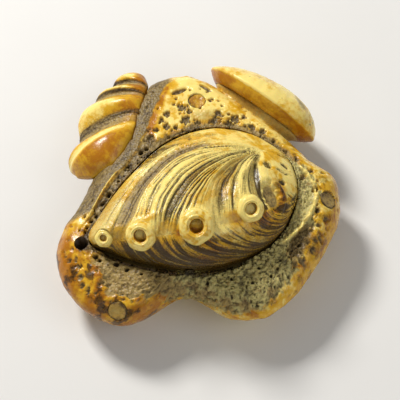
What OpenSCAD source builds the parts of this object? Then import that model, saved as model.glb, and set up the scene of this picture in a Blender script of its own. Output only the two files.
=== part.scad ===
// Sew-on button carved as a rock with sea shells on it: an antler rock base, an abalone shell
// with four siphon collars, a clam and a whelk pegged to the rock's sides, small inlaid discs,
// and a bushed thread channel in the flat back. Millimetres, +Z out of the face, and the origin
// is on the back face, midway between the two thread holes.

/* [Rock base] */
// Width of the rock, from its left corner to its right corner
rock_w = 44; // [42:0.5:46]
// Height of the rock's top above the flat back
rock_h = 11.3; // [11:0.1:12.5]
// Height of the rock's widest outline above the flat back
waist_h = 6.3; // [5.8:0.1:6.8]
// Share of its height that the rock's top loses per millimetre towards the front
droop = 0.02; // [0.015:0.001:0.022]

/* [Abalone shell] */
// Height of the pocket floor that the shell is glued to
seat_h = 9.4; // [9.2:0.1:9.6]
// Height of the dome above its seat
dome_h = 8; // [7.6:0.1:8.4]
// Thickness of the shell at its rim
rim_t = 1.8; // [1.4:0.1:2]
// Gap left round the shell for glue
glue_gap = 0.06; // [0.04:0.01:0.1]

/* [Siphon collars] */
// Lean of the collars towards the front, in degrees
collar_lean = 30; // [24:1:36]
// Length of each collar, as a multiple of its outer radius
collar_long = 1.75; // [1.6:0.05:1.8]
// Radius of the round on each collar's lip
lip_r = 0.6; // [0.4:0.05:0.6]

/* [Side shells] */
// Half length of the clam
clam_a = 10.3; // [9.5:0.1:11]
// Half width of the clam
clam_b = 7; // [6.5:0.1:7.5]
// Bulge of the clam's outer valve
clam_out = 4; // [3.7:0.1:4.4]
// Bulge of the clam's inner valve
clam_in = 2.6; // [2.4:0.1:2.9]
// Upward tilt of the clam's face, in degrees
clam_tilt = 17; // [14:1:20]
// Size of the whelk, as a share of its drawn size
whelk_size = 1; // [0.95:0.01:1.05]

/* [Inlaid discs] */
// Radius of each disc
pip_r = 1.4; // [1.2:0.1:1.5]
// Thickness of each disc
pip_t = 0.8; // [0.6:0.1:1]
// Depth of each disc's face below the rock's surface
pip_sink = 0.3; // [0.2:0.05:0.4]

/* [Thread channel and dowels] */
// Radius of the thread holes
thread_r = 1.5; // [1.3:0.1:1.6]
// Distance between the centres of the two thread holes
thread_pitch = 8; // [7.6:0.1:8.4]
// Length of each bush
bush_len = 2.5; // [2.2:0.1:2.8]
// Wall of each bush
bush_wall = 0.9; // [0.7:0.1:1]
// Radius of the dowels under the abalone
dowel_r = 1; // [0.8:0.1:1.1]
// Length of the dowels under the abalone
dowel_len = 4; // [3.4:0.1:4.4]

/* [Hidden] */
$fn = 48;

drawn_w = 44;              // rock_w at which the outline points below were chosen
plan = rock_w / drawn_w;   // plan scale of everything that sits on the rock
fit_gap = 0.02;            // radial gap round pegs, discs and bushes
curve_steps = 3;           // points drawn between two outline points
reach = 40;                // longer than any part, for cutting blocks
clear_above = 5;           // height that cuts run on above the surface they open at

antler = [0.86, 0.72, 0.36];
pale_antler = [0.94, 0.86, 0.52];
stained_antler = [0.62, 0.45, 0.2];
dark_horn = [0.36, 0.27, 0.16];

// The rock's widest outline, anticlockwise from its right corner.
rock_outline = [
    [21.6, -1], [20.8, 3], [17.4, 6], [13, 11], [8, 15.6], [3.2, 19.6], [-0.8, 22.1],
    [-3.6, 22.2], [-8, 20.6], [-11.6, 16.5], [-13.8, 11], [-16, 4.5], [-18.6, -2],
    [-20.8, -6.2], [-21.5, -10], [-20.3, -14.6], [-17, -18.6], [-12.8, -20.9], [-9, -20.2],
    [-5, -17.7], [-2, -16.8], [1, -17.8], [5, -20], [9.5, -19.8], [13.8, -16.6],
    [17.6, -11.2], [20.5, -6],
];
// Inward step and height of each ring of the rock, from below its back to its top.
rock_rings = [
    [5.6, -1], [4.4, 0.5], [2.6, 1.8], [1, 3.6], [0.2, 5.2], [0, waist_h],
    [0.3, 7.8], [1.2, 9.4], [2.7, 10.6], [4.8, rock_h - 0.2], [8, rock_h],
];

// The abalone's outline, clockwise from its left tip.
abalone_outline = [
    [-16.3, -9.4], [-14.3, -4.4], [-10.9, 0.9], [-5.9, 6.6], [0.1, 9.6], [6, 9.5], [10.7, 7.2],
    [13.9, 3.4], [14.5, -2], [12.4, -7.7], [7.5, -12], [0.5, -14.1], [-7, -13.4], [-13, -11.6],
];
abalone_summit = [-0.5, -7.3];
abalone_rings = 9;
dome_back = [1.7, 0.8];    // exponents of the dome's long slope, behind its crest
dome_front = [2.6, 0.5];   // exponents of its steep wall, in front of the crest

// Each collar: place of its lip's centre, outer radius, bore radius, sideways lean in degrees.
collars = [
    [[-14.1, -10.4, 12.9], 1.4, 0.5, -14],
    [[-8.6, -11.5, 15.6], 2.2, 0.9, -6],
    [[-0.5, -11.3, 18.1], 2.6, 1, 0],
    [[7.4, -7.6, 16.6], 2, 0.85, 8],
];
collar_bore = 1.2;         // depth of each siphon hole, as a multiple of the outer radius

// The clam stands on edge against the rock's back right side.
clam_centre = [10, 16.9, 7.6];
clam_heading = 50.7;       // direction of its outer face, in degrees from +X
clam_seat = 1.6;           // distance of its glued flat behind the rim's plane
clam_skew = 0.3;           // how far the bulge leans to one end
clam_dowel_r = 0.9;
clam_dowel_len = 5;
clam_pad_half = [6.6, 3.2]; // half length and half width of the pad the clam is glued to
clam_pad_deep = 4;

// The whelk leans on the rock's back left shoulder.
whelk_seat = [-12.4, 12.6, 6.6];
whelk_heading = 69;        // direction of the whelk's length, in degrees from +X
whelk_tilt = 34;           // slope of the flat that it is glued to
whelk_dowel_r = 0.8;
whelk_dowel_len = 4.4;
whelk_pad_half = [5, 2.4]; // half length and half width of the pad the whelk is glued to
whelk_pad_deep = 3;
whelk_flat_margin = 0.4;   // width of the flat left round the whelk
whelk_flat_half = 11;      // half length of the flat
// Each ring of the whelk: centre up the slope, centre along the length, half length of the
// rib's section, slant of the rib in degrees, and height of its back above its middle.
whelk_rings = [
    [-0.8, -10.9, 1.6, 0, 0.4], [-0.3, -9.3, 4.2, 6, 2.4], [-0.1, -7.6, 5, 17, 3.3],
    [-0.1, -5.8, 5.5, 25, 3.4], [-0.2, -4.2, 5.6, 30, 2.6], [-0.4, -2.9, 5.5, 32, 1.6],
    [-0.8, -1.6, 5.5, 31, 1.3], [-1.2, -0.3, 5.8, 26, 1.9], [-1.8, 1.0, 6, 20, 3],
    [-2, 2.3, 6, 14, 3], [-1.9, 3.5, 5.6, 10, 2.2], [-1.6, 4.4, 5.1, 8, 1.9],
    [-1.5, 5.3, 4.8, 7, 2.6], [-1.1, 6.2, 4.2, 5, 2], [-0.8, 7, 3.7, 3, 1.5],
    [-0.8, 7.8, 3.4, 1, 2.1], [-0.9, 8.7, 2.9, -1, 1.9], [-0.8, 9.6, 2, -3, 1.2],
    [-0.7, 10.1, 0.7, -5, 0.3],
];
whelk_lift = 1.8;          // height of the whelk's middle above its glued flat

// Each inlaid disc: place on the rock's surface, and the way its face looks.
disc_top = [[-0.5, 15.1, 11.35], [0, 0, 1]];
disc_left = [[-12, -20.1, 8.3], [-0.15, -0.8, 0.75]];
disc_right = [[19.6, -2.2, 10.1], [0.62, 0, 0.8]];

// The deep drilled hole at the rock's left corner.
pit_place = [-17.6, -9.7, 10.3];
pit_r = 1;
pit_depth = 4;

dowel_places = [[-8.6, -3], [8.4, -2.4]];

function smooth_step(a, b, c, d, t) =
    0.5 * (2 * b + (c - a) * t + (2 * a - 5 * b + 4 * c - d) * t * t
        + (3 * b - a - 3 * c + d) * t * t * t);

// A closed smooth curve through the points, with curve_steps points to each.
function closed_curve(p) =
    let (n = len(p))
    [for (i = [0:n - 1], j = [0:curve_steps - 1])
        smooth_step(p[(i + n - 1) % n], p[i], p[(i + 1) % n], p[(i + 2) % n], j / curve_steps)];

function inset_point(p, step) = p * (1 - step / norm(p));

function rock_z(z, y) =
    z <= waist_h ? z : waist_h + (z - waist_h) * (1 - droop * max(0, -y));

function rock_ring(ring) =
    [for (p = closed_curve(plan * rock_outline))
        let (q = inset_point(p, ring[0])) [q[0], q[1], rock_z(ring[1], q[1])]];

function abalone_curve(grow) =
    [for (p = closed_curve(plan * abalone_outline))
        let (v = p - plan * abalone_summit) plan * abalone_summit + v * (1 + grow / norm(v))];

// Share of the dome's height at a point: share is 1 at the rim and 0 at the summit, and way
// is the direction from the summit to the rim.
function dome_share(share, way) =
    let (front = pow(max(0, -way[1] / norm(way)), 1.5), e = dome_back * (1 - front)
        + dome_front * front) pow(1 - pow(share, e[0]), e[1]);

function abalone_ring(share) =
    [for (p = abalone_curve(0))
        let (way = p - plan * abalone_summit, q = plan * abalone_summit + share * way)
        [q[0], q[1], seat_h + rim_t + (dome_h - rim_t) * dome_share(share, way)]];

// A closed solid through rings of points; the first and last rings are capped.
module loft(rings) {
    n = len(rings[0]);
    last = len(rings) - 1;
    first_mid = centre_of(rings[0]);
    last_mid = centre_of(rings[last]);
    points = [for (r = rings, p = r) p, first_mid, last_mid];
    sides = [for (k = [0:last - 1], i = [0:n - 1])
        let (a = k * n + i, b = k * n + (i + 1) % n) each [[a, a + n, b], [b, a + n, b + n]]];
    first_cap = [for (i = [0:n - 1]) [i, (i + 1) % n, n * (last + 1)]];
    last_cap = [for (i = [0:n - 1]) [last * n + (i + 1) % n, last * n + i, n * (last + 1) + 1]];
    polyhedron(points, concat(sides, first_cap, last_cap), convexity = 6);
}

function centre_of(ring) = [for (p = ring) 1] * ring / len(ring);

// Turns +Z to the direction and moves the origin to the place.
module aim(place, direction) {
    heading = atan2(direction[1], direction[0]);
    tilt = atan2(norm([direction[0], direction[1]]), direction[2]);
    translate(place) rotate([0, tilt, heading]) children();
}

module slot_2d(half) {
    square([2 * (half[0] - half[1]), 2 * half[1]], center = true);
    for (s = [-1, 1]) translate([s * (half[0] - half[1]), 0]) circle(half[1]);
}

module clam_frame() {
    translate([plan * clam_centre[0], plan * clam_centre[1], clam_centre[2]])
        rotate([90 - clam_tilt, 0, clam_heading + 90]) children();
}

module whelk_frame() {
    translate([plan * whelk_seat[0], plan * whelk_seat[1], whelk_seat[2]])
        rotate([0, 0, whelk_heading - 90]) rotate([0, -whelk_tilt, 0]) children();
}

module collar_frame(c) {
    translate([plan * c[0][0], plan * c[0][1], c[0][2]]) rotate([collar_lean, c[3], 0]) children();
}

module disc_cut(disc) {
    aim([plan * disc[0][0], plan * disc[0][1], disc[0][2]], disc[1])
        translate([0, 0, -pip_sink - pip_t]) cylinder(r = pip_r + fit_gap, h = clear_above);
}

module disc(disc) {
    color(dark_horn) aim([plan * disc[0][0], plan * disc[0][1], disc[0][2]], disc[1])
        translate([0, 0, -pip_sink - pip_t]) cylinder(r = pip_r, h = pip_t);
}

// The thread's way between the two holes, an arch inside the rock.
module thread_arch() {
    dip = 4; // degrees by which the arch's ends run into the bush seats
    translate([0, 0, bush_len]) rotate([90, 0, 0]) rotate([0, 0, -dip])
        rotate_extrude(angle = 180 + 2 * dip) translate([thread_pitch / 2, 0]) circle(thread_r);
}

module thread_places() {
    for (s = [-1, 1]) translate([s * thread_pitch / 2, 0, 0]) children();
}

module dowel_at(place, r) {
    translate([plan * place[0], plan * place[1], seat_h - dowel_len / 2])
        cylinder(r = r, h = dowel_len);
}

module rock_base() {
    color(antler) difference() {
        union() {
            loft([for (r = rock_rings) rock_ring(r)]);
            clam_pad();
            whelk_pad();
        }
        translate([-reach, -reach, -reach]) cube([2 * reach, 2 * reach, reach]);
        translate([0, 0, seat_h]) linear_extrude(clear_above) polygon(abalone_curve(glue_gap));
        thread_arch();
        thread_places() translate([0, 0, -1])
            cylinder(r = thread_r + bush_wall + fit_gap, h = bush_len + 1);
        for (p = dowel_places) dowel_at(p, dowel_r + fit_gap);
        for (d = [disc_top, disc_left, disc_right]) disc_cut(d);
        translate([plan * pit_place[0], plan * pit_place[1], pit_place[2] - pit_depth])
            cylinder(r = pit_r, h = pit_depth + clear_above);
        clam_frame() translate([0, 0, -clam_seat - clam_dowel_len / 2])
            cylinder(r = clam_dowel_r + fit_gap, h = clam_dowel_len);
        whelk_flat();
        whelk_frame() translate([0, 0, -whelk_dowel_len / 2])
            cylinder(r = whelk_dowel_r + fit_gap, h = whelk_dowel_len);
    }
}

// The flat cut into the rock's shoulder, that the whelk lies on.
module whelk_flat() {
    inner_edge = [for (r = whelk_rings) let (half = whelk_size * (r[2] + whelk_flat_margin))
        [whelk_size * r[0] + half * cos(r[3]), whelk_size * r[1] + half * sin(r[3])]];
    whelk_frame() linear_extrude(2 * clear_above)
        polygon(concat([[-reach / 2, -whelk_flat_half]], inner_edge,
            [[-reach / 2, whelk_flat_half]]));
}

module clam_pad() {
    clam_frame() translate([0, 0, -clam_seat - clam_pad_deep]) linear_extrude(clam_pad_deep)
        slot_2d(clam_pad_half);
}

module whelk_pad() {
    whelk_frame() translate([0, 0, -whelk_pad_deep]) linear_extrude(whelk_pad_deep) rotate(90)
        slot_2d(whelk_pad_half);
}

module abalone_shell() {
    rim_drop = [for (p = abalone_curve(0)) [p[0], p[1], seat_h - 1]];
    dome = [for (k = [0:abalone_rings - 1]) abalone_ring(sin(90 * (1 - k / abalone_rings)))];
    color(pale_antler) difference() {
        loft(concat([rim_drop], dome));
        translate([-reach, -reach, seat_h - reach]) cube([2 * reach, 2 * reach, reach]);
        for (c = collars) collar_frame(c) translate([0, 0, -collar_long * c[1]])
            cylinder(r = c[1] + fit_gap, h = 2 * clear_above);
        for (p = dowel_places) dowel_at(p, dowel_r + fit_gap);
    }
}

// One siphon collar: a round-lipped tube with a blind siphon hole.
module siphon_collar(c) {
    long = collar_long * c[1];
    color(pale_antler) collar_frame(c) difference() {
        rotate_extrude() {
            translate([0, -long]) square([c[1], long - lip_r]);
            translate([0, -lip_r * 2]) square([c[1] - lip_r, lip_r * 2]);
            intersection() {
                translate([c[1] - lip_r, -lip_r]) circle(lip_r);
                translate([c[1] - lip_r, -lip_r]) square(lip_r);
            }
        }
        translate([0, 0, -collar_bore * c[1]]) cylinder(r = c[2], h = collar_bore * c[1] + 1);
    }
}

module clam_shell() {
    turns = 40; // points round each ring
    steps = 6;  // rings on each valve
    place = function (share, a, bulge, fullness)
        let (u = share * cos(a), w = share * sin(a))
        [clam_a * u, clam_b * w, bulge * pow(1 - share * share, fullness)];
    inner = [for (k = [1:steps])
        [for (i = [0:turns - 1]) place(sin(90 * k / steps), 360 * i / turns, -clam_in, 0.5)]];
    outer = [for (k = [1:steps - 1])
        [for (i = [0:turns - 1])
            place(cos(90 * k / steps), 360 * i / turns,
                clam_out * (1 - clam_skew * cos(90 * k / steps) * cos(360 * i / turns)), 0.65)]];
    color(pale_antler) clam_frame() difference() {
        loft(concat(inner, outer));
        translate([-reach / 2, -reach / 2, -clam_seat - reach]) cube(reach);
        translate([0, 0, -clam_seat - clam_dowel_len / 2])
            cylinder(r = clam_dowel_r + fit_gap, h = clam_dowel_len);
    }
}

module whelk_shell() {
    turns = 28; // points round each ring
    section = function (ring)
        [for (i = [0:turns - 1])
            let (a = 360 * i / turns, along = ring[2] * cos(a), out = ring[4] * sin(a))
            whelk_size * [ring[0] + along * cos(ring[3]), ring[1] + along * sin(ring[3]),
                whelk_lift + out]];
    color(stained_antler) whelk_frame() difference() {
        loft([for (r = whelk_rings) section(r)]);
        translate([-reach / 2, -reach / 2, -reach]) cube(reach);
        translate([0, 0, -whelk_dowel_len / 2])
            cylinder(r = whelk_dowel_r + fit_gap, h = whelk_dowel_len);
    }
}

module thread_bush() {
    color(dark_horn) difference() {
        cylinder(r = thread_r + bush_wall, h = bush_len);
        translate([0, 0, -1]) cylinder(r = thread_r, h = bush_len + 2);
    }
}

module abalone_dowels() {
    color(stained_antler) for (p = dowel_places) dowel_at(p, dowel_r);
}

module clam_dowel() {
    color(stained_antler) clam_frame() translate([0, 0, -clam_seat - clam_dowel_len / 2])
        cylinder(r = clam_dowel_r, h = clam_dowel_len);
}

module whelk_dowel() {
    color(stained_antler) whelk_frame() translate([0, 0, -whelk_dowel_len / 2])
        cylinder(r = whelk_dowel_r, h = whelk_dowel_len);
}

rock_base();
abalone_shell();
for (i = [0:len(collars) - 1])
    siphon_collar(collars[i]);
clam_shell();
whelk_shell();
disc(disc_top);  // inlay_disc_top
disc(disc_left);  // inlay_disc_left
disc(disc_right);  // inlay_disc_right
translate([-thread_pitch / 2, 0, 0]) thread_bush();  // thread_bush_left
translate([thread_pitch / 2, 0, 0]) thread_bush();  // thread_bush_right
abalone_dowels();
clam_dowel();
whelk_dowel();
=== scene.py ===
"""A carved antler button with sea shells on it: detailed meshes and materials around the CAD frame.

Everything is modelled in millimetres in the frame of the CAD part and scaled to metres when a
mesh is made. Pieces: the rock with its pores and pits, the abalone with its growth lines, four
siphon collars, the clam, the whelk, three inlaid discs; the bushes and dowels stay CAD nodes.
"""
import math

import bpy
import numpy as np
from mathutils import Matrix, Vector, kdtree


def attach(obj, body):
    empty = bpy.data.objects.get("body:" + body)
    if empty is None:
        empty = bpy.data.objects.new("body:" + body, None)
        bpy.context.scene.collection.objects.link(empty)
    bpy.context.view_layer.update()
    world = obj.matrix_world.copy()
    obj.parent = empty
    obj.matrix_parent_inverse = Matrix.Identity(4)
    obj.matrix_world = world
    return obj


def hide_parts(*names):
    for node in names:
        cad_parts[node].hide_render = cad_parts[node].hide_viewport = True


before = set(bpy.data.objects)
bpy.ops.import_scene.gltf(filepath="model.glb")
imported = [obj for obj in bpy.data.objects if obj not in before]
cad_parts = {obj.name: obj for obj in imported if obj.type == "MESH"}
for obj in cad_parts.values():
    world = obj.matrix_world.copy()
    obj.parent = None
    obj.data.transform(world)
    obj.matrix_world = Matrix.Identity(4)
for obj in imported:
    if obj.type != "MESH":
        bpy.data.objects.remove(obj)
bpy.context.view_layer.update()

MM = 0.001
BODY = "root"

# ---------------------------------------------------------------- places shared with the CAD part

SEAT_H = 9.4                 # floor of the abalone's pocket
DOME_H = 8.0                 # height of the abalone above its seat
RIM_T = 1.8                  # thickness of the abalone at its rim
ROCK_H = 11.3
WAIST_H = 6.3
DROOP = 0.02
THREAD_R, THREAD_PITCH, BUSH_LEN, BUSH_WALL = 1.5, 8.0, 2.5, 0.9
POCKET_GAP, SOCKET_GAP = 0.06, 0.02

ROCK_OUTLINE = [
    (21.6, -1), (20.8, 3), (17.4, 6), (13, 11), (8, 15.6), (3.2, 19.6), (-0.8, 22.1),
    (-3.6, 22.2), (-8, 20.6), (-11.6, 16.5), (-13.8, 11), (-16, 4.5), (-18.6, -2),
    (-20.8, -6.2), (-21.5, -10), (-20.3, -14.6), (-17, -18.6), (-12.8, -20.9), (-9, -20.2),
    (-5, -17.7), (-2, -16.8), (1, -17.8), (5, -20), (9.5, -19.8), (13.8, -16.6),
    (17.6, -11.2), (20.5, -6),
]
# Inward step and height of the rock's profile, from its back to its top.
ROCK_PROFILE = [
    (4.9, 0), (4.4, 0.5), (2.6, 1.8), (1, 3.6), (0.2, 5.2), (0, WAIST_H),
    (0.3, 7.8), (1.2, 9.4), (2.7, 10.6), (4.8, ROCK_H - 0.2), (8, ROCK_H), (20, ROCK_H),
]
WAIST_STEP = 5               # index of the widest point in ROCK_PROFILE

ABALONE_OUTLINE = [
    (-16.3, -9.4), (-14.3, -4.4), (-10.9, 0.9), (-5.9, 6.6), (0.1, 9.6), (6, 9.5), (10.7, 7.2),
    (13.9, 3.4), (14.5, -2), (12.4, -7.7), (7.5, -12), (0.5, -14.1), (-7, -13.4), (-13, -11.6),
]
SUMMIT = np.array([-0.5, -7.3])
DOME_BACK = (1.7, 0.8)
DOME_FRONT = (2.6, 0.5)

# Place of the lip's centre, outer radius, bore radius and sideways lean of each collar.
COLLARS = [
    ((-14.1, -10.4, 12.9), 1.4, 0.5, -14),
    ((-8.6, -11.5, 15.6), 2.2, 0.9, -6),
    ((-0.5, -11.3, 18.1), 2.6, 1.0, 0),
    ((7.4, -7.6, 16.6), 2.0, 0.85, 8),
]
COLLAR_LEAN = 30
COLLAR_LONG = 1.75
COLLAR_BORE = 1.2

CLAM_CENTRE = (10, 16.9, 7.6)
CLAM_HEADING, CLAM_TILT = 50.7, 17
CLAM_A, CLAM_B, CLAM_OUT, CLAM_IN, CLAM_SKEW, CLAM_SEAT = 10.3, 7.0, 4.0, 2.6, 0.3, 1.6

WHELK_SEAT = (-12.4, 12.6, 6.6)
WHELK_HEADING, WHELK_TILT, WHELK_LIFT = 69, 34, 1.8
WHELK_RINGS = [
    (-0.8, -10.9, 1.6, 0, 0.4), (-0.3, -9.3, 4.2, 6, 2.4), (-0.1, -7.6, 5, 17, 3.3),
    (-0.1, -5.8, 5.5, 25, 3.4), (-0.2, -4.2, 5.6, 30, 2.6), (-0.4, -2.9, 5.5, 32, 1.6),
    (-0.8, -1.6, 5.5, 31, 1.3), (-1.2, -0.3, 5.8, 26, 1.9), (-1.8, 1.0, 6, 20, 3),
    (-2, 2.3, 6, 14, 3), (-1.9, 3.5, 5.6, 10, 2.2), (-1.6, 4.4, 5.1, 8, 1.9),
    (-1.5, 5.3, 4.8, 7, 2.6), (-1.1, 6.2, 4.2, 5, 2), (-0.8, 7, 3.7, 3, 1.5),
    (-0.8, 7.8, 3.4, 1, 2.1), (-0.9, 8.7, 2.9, -1, 1.9), (-0.8, 9.6, 2, -3, 1.2),
    (-0.7, 10.1, 0.7, -5, 0.3),
]

# Grooves between the whelk's ribs: middle along its length, half width.
WHELK_GROOVES = [(-1.8, 1.75), (4.45, 0.7), (6.95, 0.65)]
# Pale ribs between them, painted lighter as highlights: middle along its length, width.
WHELK_RIB_HIGHLIGHTS = [(1.7, 1.1), (5.4, 0.4), (8.4, 0.5)]

DISCS = {
    "inlay_disc_top": ((-0.5, 15.1, 11.35), (0, 0, 1)),
    "inlay_disc_left": ((-12, -20.1, 8.3), (-0.15, -0.8, 0.75)),
    "inlay_disc_right": ((19.6, -2.2, 10.1), (0.62, 0, 0.8)),
}
DISC_R, DISC_T, DISC_SINK, DISC_GAP = 1.4, 0.8, 0.3, 0.03
DISC_GREY = (0.35, 0.55, 0.75)
PIT_PLACE, PIT_R, PIT_DEPTH = (-17.6, -9.7, 10.3), 1.0, 4.0


# ---------------------------------------------------------------- numbers: noise, curves, blends

def smooth(low, high, value):
    """0 at low, 1 at high and an even blend between; low may be the larger of the two."""
    t = np.clip((value - low) / (high - low), 0, 1)
    return t * t * (3 - 2 * t)


def mix(a, b, t):
    return a + (b - a) * t


def most(*values):
    """The largest of the values at each point."""
    largest = values[0]
    for value in values[1:]:
        largest = np.maximum(largest, value)
    return largest


def bell(value, width):
    """1 where the value is 0, falling off evenly over the width."""
    return np.exp(-(value / width) ** 2)


def angles(count):
    return np.arange(count) * 2 * math.pi / count


def hash01(cell, seed):
    """A repeatable number from 0 to 1 for each row of whole numbers."""
    c = cell.astype(np.int64)
    h = c[..., 0] * 73856093 ^ c[..., 1] * 19349663 ^ c[..., 2] * 83492791 ^ (seed * 2654435761)
    h = (h ^ (h >> 13)) * 1274126177 & 0x7FFFFFFF
    h = (h ^ (h >> 16)) * 668265263 & 0x7FFFFFFF
    return ((h ^ (h >> 11)) & 0xFFFFF) / 0xFFFFF


def noise(p, seed=0):
    """Smooth value noise from 0 to 1 at points p, one cell to a unit."""
    base = np.floor(p)
    f = p - base
    f = f * f * f * (f * (f * 6 - 15) + 10)
    total = 0
    for corner in np.ndindex(2, 2, 2):
        step = np.array(corner)
        weight = np.prod(np.where(step == 1, f, 1 - f), axis=-1)
        total = total + weight * hash01(base + step, seed)
    return total


def fbm(p, octaves=4, seed=0):
    """Layered noise from about 0 to 1."""
    total, scale, share = 0, 1.0, 0
    for k in range(octaves):
        total = total + noise(p * 2 ** k + 17.3 * k, seed + k) * scale
        share += scale
        scale *= 0.5
    return total / share


def cells(p, seed=0):
    """Distances from points p to the nearest and the second nearest of scattered seeds."""
    base = np.floor(p)
    near = np.full(p.shape[:-1], 9.0)
    second = np.full(p.shape[:-1], 9.0)
    for corner in np.ndindex(3, 3, 3):
        cell = base + np.array(corner) - 1
        spot = cell + np.stack([hash01(cell, seed + 7 * axis) for axis in range(3)], -1)
        d = np.linalg.norm(spot - p, axis=-1)
        second = np.minimum(second, most(near, d))
        near = np.minimum(near, d)
    return near, second


def xyz(x, y, z=0.0):
    return np.stack(np.broadcast_arrays(x, y, z), -1).astype(float)


def loop_curve(points, per_step=24):
    """A closed smooth curve through the points."""
    p = np.array(points, float)
    a, b, c, d = (np.roll(p, s, 0)[:, None] for s in (1, 0, -1, -2))
    t = (np.arange(per_step) / per_step)[None, :, None]
    q = 0.5 * (2 * b + (c - a) * t + (2 * a - 5 * b + 4 * c - d) * t ** 2
               + (3 * b - a - 3 * c + d) * t ** 3)
    return q.reshape(-1, p.shape[1])


def open_curve(points, count):
    """count points along an open smooth curve through the points."""
    p = np.array(points, float)
    p = np.vstack([2 * p[0] - p[1], p, 2 * p[-1] - p[-2]])
    t = np.linspace(0, len(points) - 1, count)
    i = np.minimum(t.astype(int), len(points) - 2)
    t = (t - i)[:, None]
    a, b, c, d = p[i], p[i + 1], p[i + 2], p[i + 3]
    return 0.5 * (2 * b + (c - a) * t + (2 * a - 5 * b + 4 * c - d) * t ** 2
                  + (3 * b - a - 3 * c + d) * t ** 3)


def polar(loop, centre):
    """A function that gives the loop's distance from the centre in any direction."""
    v = loop - np.array(centre)
    angle = np.arctan2(v[:, 1], v[:, 0])
    order = np.argsort(angle)
    angle, reach = angle[order], np.linalg.norm(v, axis=1)[order]
    return lambda a: np.interp(a, angle, reach, period=2 * math.pi)


def near_path(x, y, path):
    """Distance from each point to a smooth path, and how far along the path, 0 to 1."""
    steps = 59
    line = open_curve(path, steps + 1)
    best = np.full(np.shape(x), 1e9)
    along = np.zeros(np.shape(x))
    for k, (a, b) in enumerate(zip(line[:-1], line[1:])):
        ab = b - a
        t = np.clip(((x - a[0]) * ab[0] + (y - a[1]) * ab[1]) / (ab @ ab), 0, 1)
        d = np.hypot(x - a[0] - t * ab[0], y - a[1] - t * ab[1])
        closer = d < best
        best = np.where(closer, d, best)
        along = np.where(closer, (k + t) / steps, along)
    return best, along


def oval(x, y, centre, length, width, turn):
    """Distance from an oval's middle, 1 on its edge; length and width are whole sizes."""
    c, s = math.cos(math.radians(turn)), math.sin(math.radians(turn))
    u = (x - centre[0]) * c + (y - centre[1]) * s
    v = (y - centre[1]) * c - (x - centre[0]) * s
    return np.hypot(2 * u / length, 2 * v / width)


def ovals(x, y, places, low, high, ragged=0.0):
    """1 inside any of the ovals and 0 outside, with a soft edge that may be ragged."""
    return most(*[smooth(high, low, oval(x, y, *place) + ragged)
                              for place in places])


def rounds(places):
    """The ovals for round spots, given as x, y and radius."""
    return [((x, y), 2 * radius, 2 * radius, 0) for x, y, radius in places]


# ---------------------------------------------------------------- meshes

def make_mesh(name, points, faces, traits=None):
    mesh = bpy.data.meshes.new(name)
    mesh.from_pydata((np.asarray(points) * MM).tolist(), [], faces)
    mesh.validate()
    for trait, values in (traits or {}).items():
        layer = mesh.attributes.new(trait, "FLOAT", "POINT")
        layer.data.foreach_set("value", np.asarray(values, np.float32))
    mesh.polygons.foreach_set("use_smooth", np.ones(len(mesh.polygons), bool))
    piece = bpy.data.objects.new(name, mesh)
    bpy.context.scene.collection.objects.link(piece)
    return piece


def loft(name, rings, traits=None):
    """A closed skin over rings x around points; the first and last rings are closed by fans."""
    rows, around = rings.shape[:2]
    points = np.vstack([rings.reshape(-1, 3), rings[0].mean(0), rings[-1].mean(0)])
    i = np.arange(around)
    j = (i + 1) % around
    faces = []
    for k in range(rows - 1):
        a, b = k * around, (k + 1) * around
        faces += np.stack([a + i, a + j, b + j, b + i], 1).tolist()
    start, end = rows * around, rows * around + 1
    last = (rows - 1) * around
    faces += np.stack([j, i, np.full(around, start)], 1).tolist()
    faces += np.stack([last + i, last + j, np.full(around, end)], 1).tolist()
    full = {}
    for trait, values in (traits or {}).items():
        v = np.broadcast_to(values, (rows, around)).astype(float)
        full[trait] = np.concatenate([v.ravel(), [v[0].mean(), v[-1].mean()]])
    return make_mesh(name, points, faces, full)


def traits_of(**values):
    """Traits for a material, each kept between 0 and 1."""
    return {name: np.clip(value, 0, 1) for name, value in values.items()}


def grid_normals(rings):
    """Outward normals of a rings x around skin, that closes round in its second direction."""
    along = np.gradient(rings, axis=0)
    around = np.roll(rings, -1, 1) - np.roll(rings, 1, 1)
    n = np.cross(around, along)
    return n / most(np.linalg.norm(n, axis=-1, keepdims=True), 1e-9)


def raised(rings, height):
    """The skin with its points moved outward by the height."""
    return rings + grid_normals(rings) * np.asarray(height)[..., None]


def turned(r, z, b):
    """Rings of a turned shape: radius and height down the rows, direction along them."""
    return xyz(r * np.cos(b), r * np.sin(b), z + 0 * b)


def prism(name, outline, low, high, matrix=Matrix()):
    """A straight prism on an outline, placed by a matrix: a cutter, never a visible piece."""
    n = len(outline)
    points = [(x, y, z) for z in (low, high) for x, y in outline]
    points = [tuple(matrix @ Vector(p)) for p in points]
    faces = [[i, (i + 1) % n, n + (i + 1) % n, n + i] for i in range(n)]
    faces += [list(range(n))[::-1], list(range(n, 2 * n))]
    return make_mesh(name, points, faces)


def ring_of(radius, count=64, centre=(0, 0)):
    return [(centre[0] + radius * math.cos(t), centre[1] + radius * math.sin(t))
            for t in angles(count)]


def combine(piece, others, operation):
    """Adds the other meshes to the piece, or cuts them from it, and removes them."""
    for other in others:
        step = piece.modifiers.new("combine", "BOOLEAN")
        step.object = other
        step.operation = operation
        step.solver = "MANIFOLD"
        graph = bpy.context.evaluated_depsgraph_get()
        result = bpy.data.meshes.new_from_object(piece.evaluated_get(graph))
        piece.modifiers.clear()
        piece.data = result
        bpy.data.objects.remove(other)


def placed(place, turns):
    """A matrix that turns about X, Y, then Z by degrees, and then moves to the place."""
    m = Matrix.Translation(Vector(place))
    for axis in "ZYX":
        m = m @ Matrix.Rotation(math.radians(turns["XYZ".index(axis)]), 4, axis)
    return m


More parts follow.
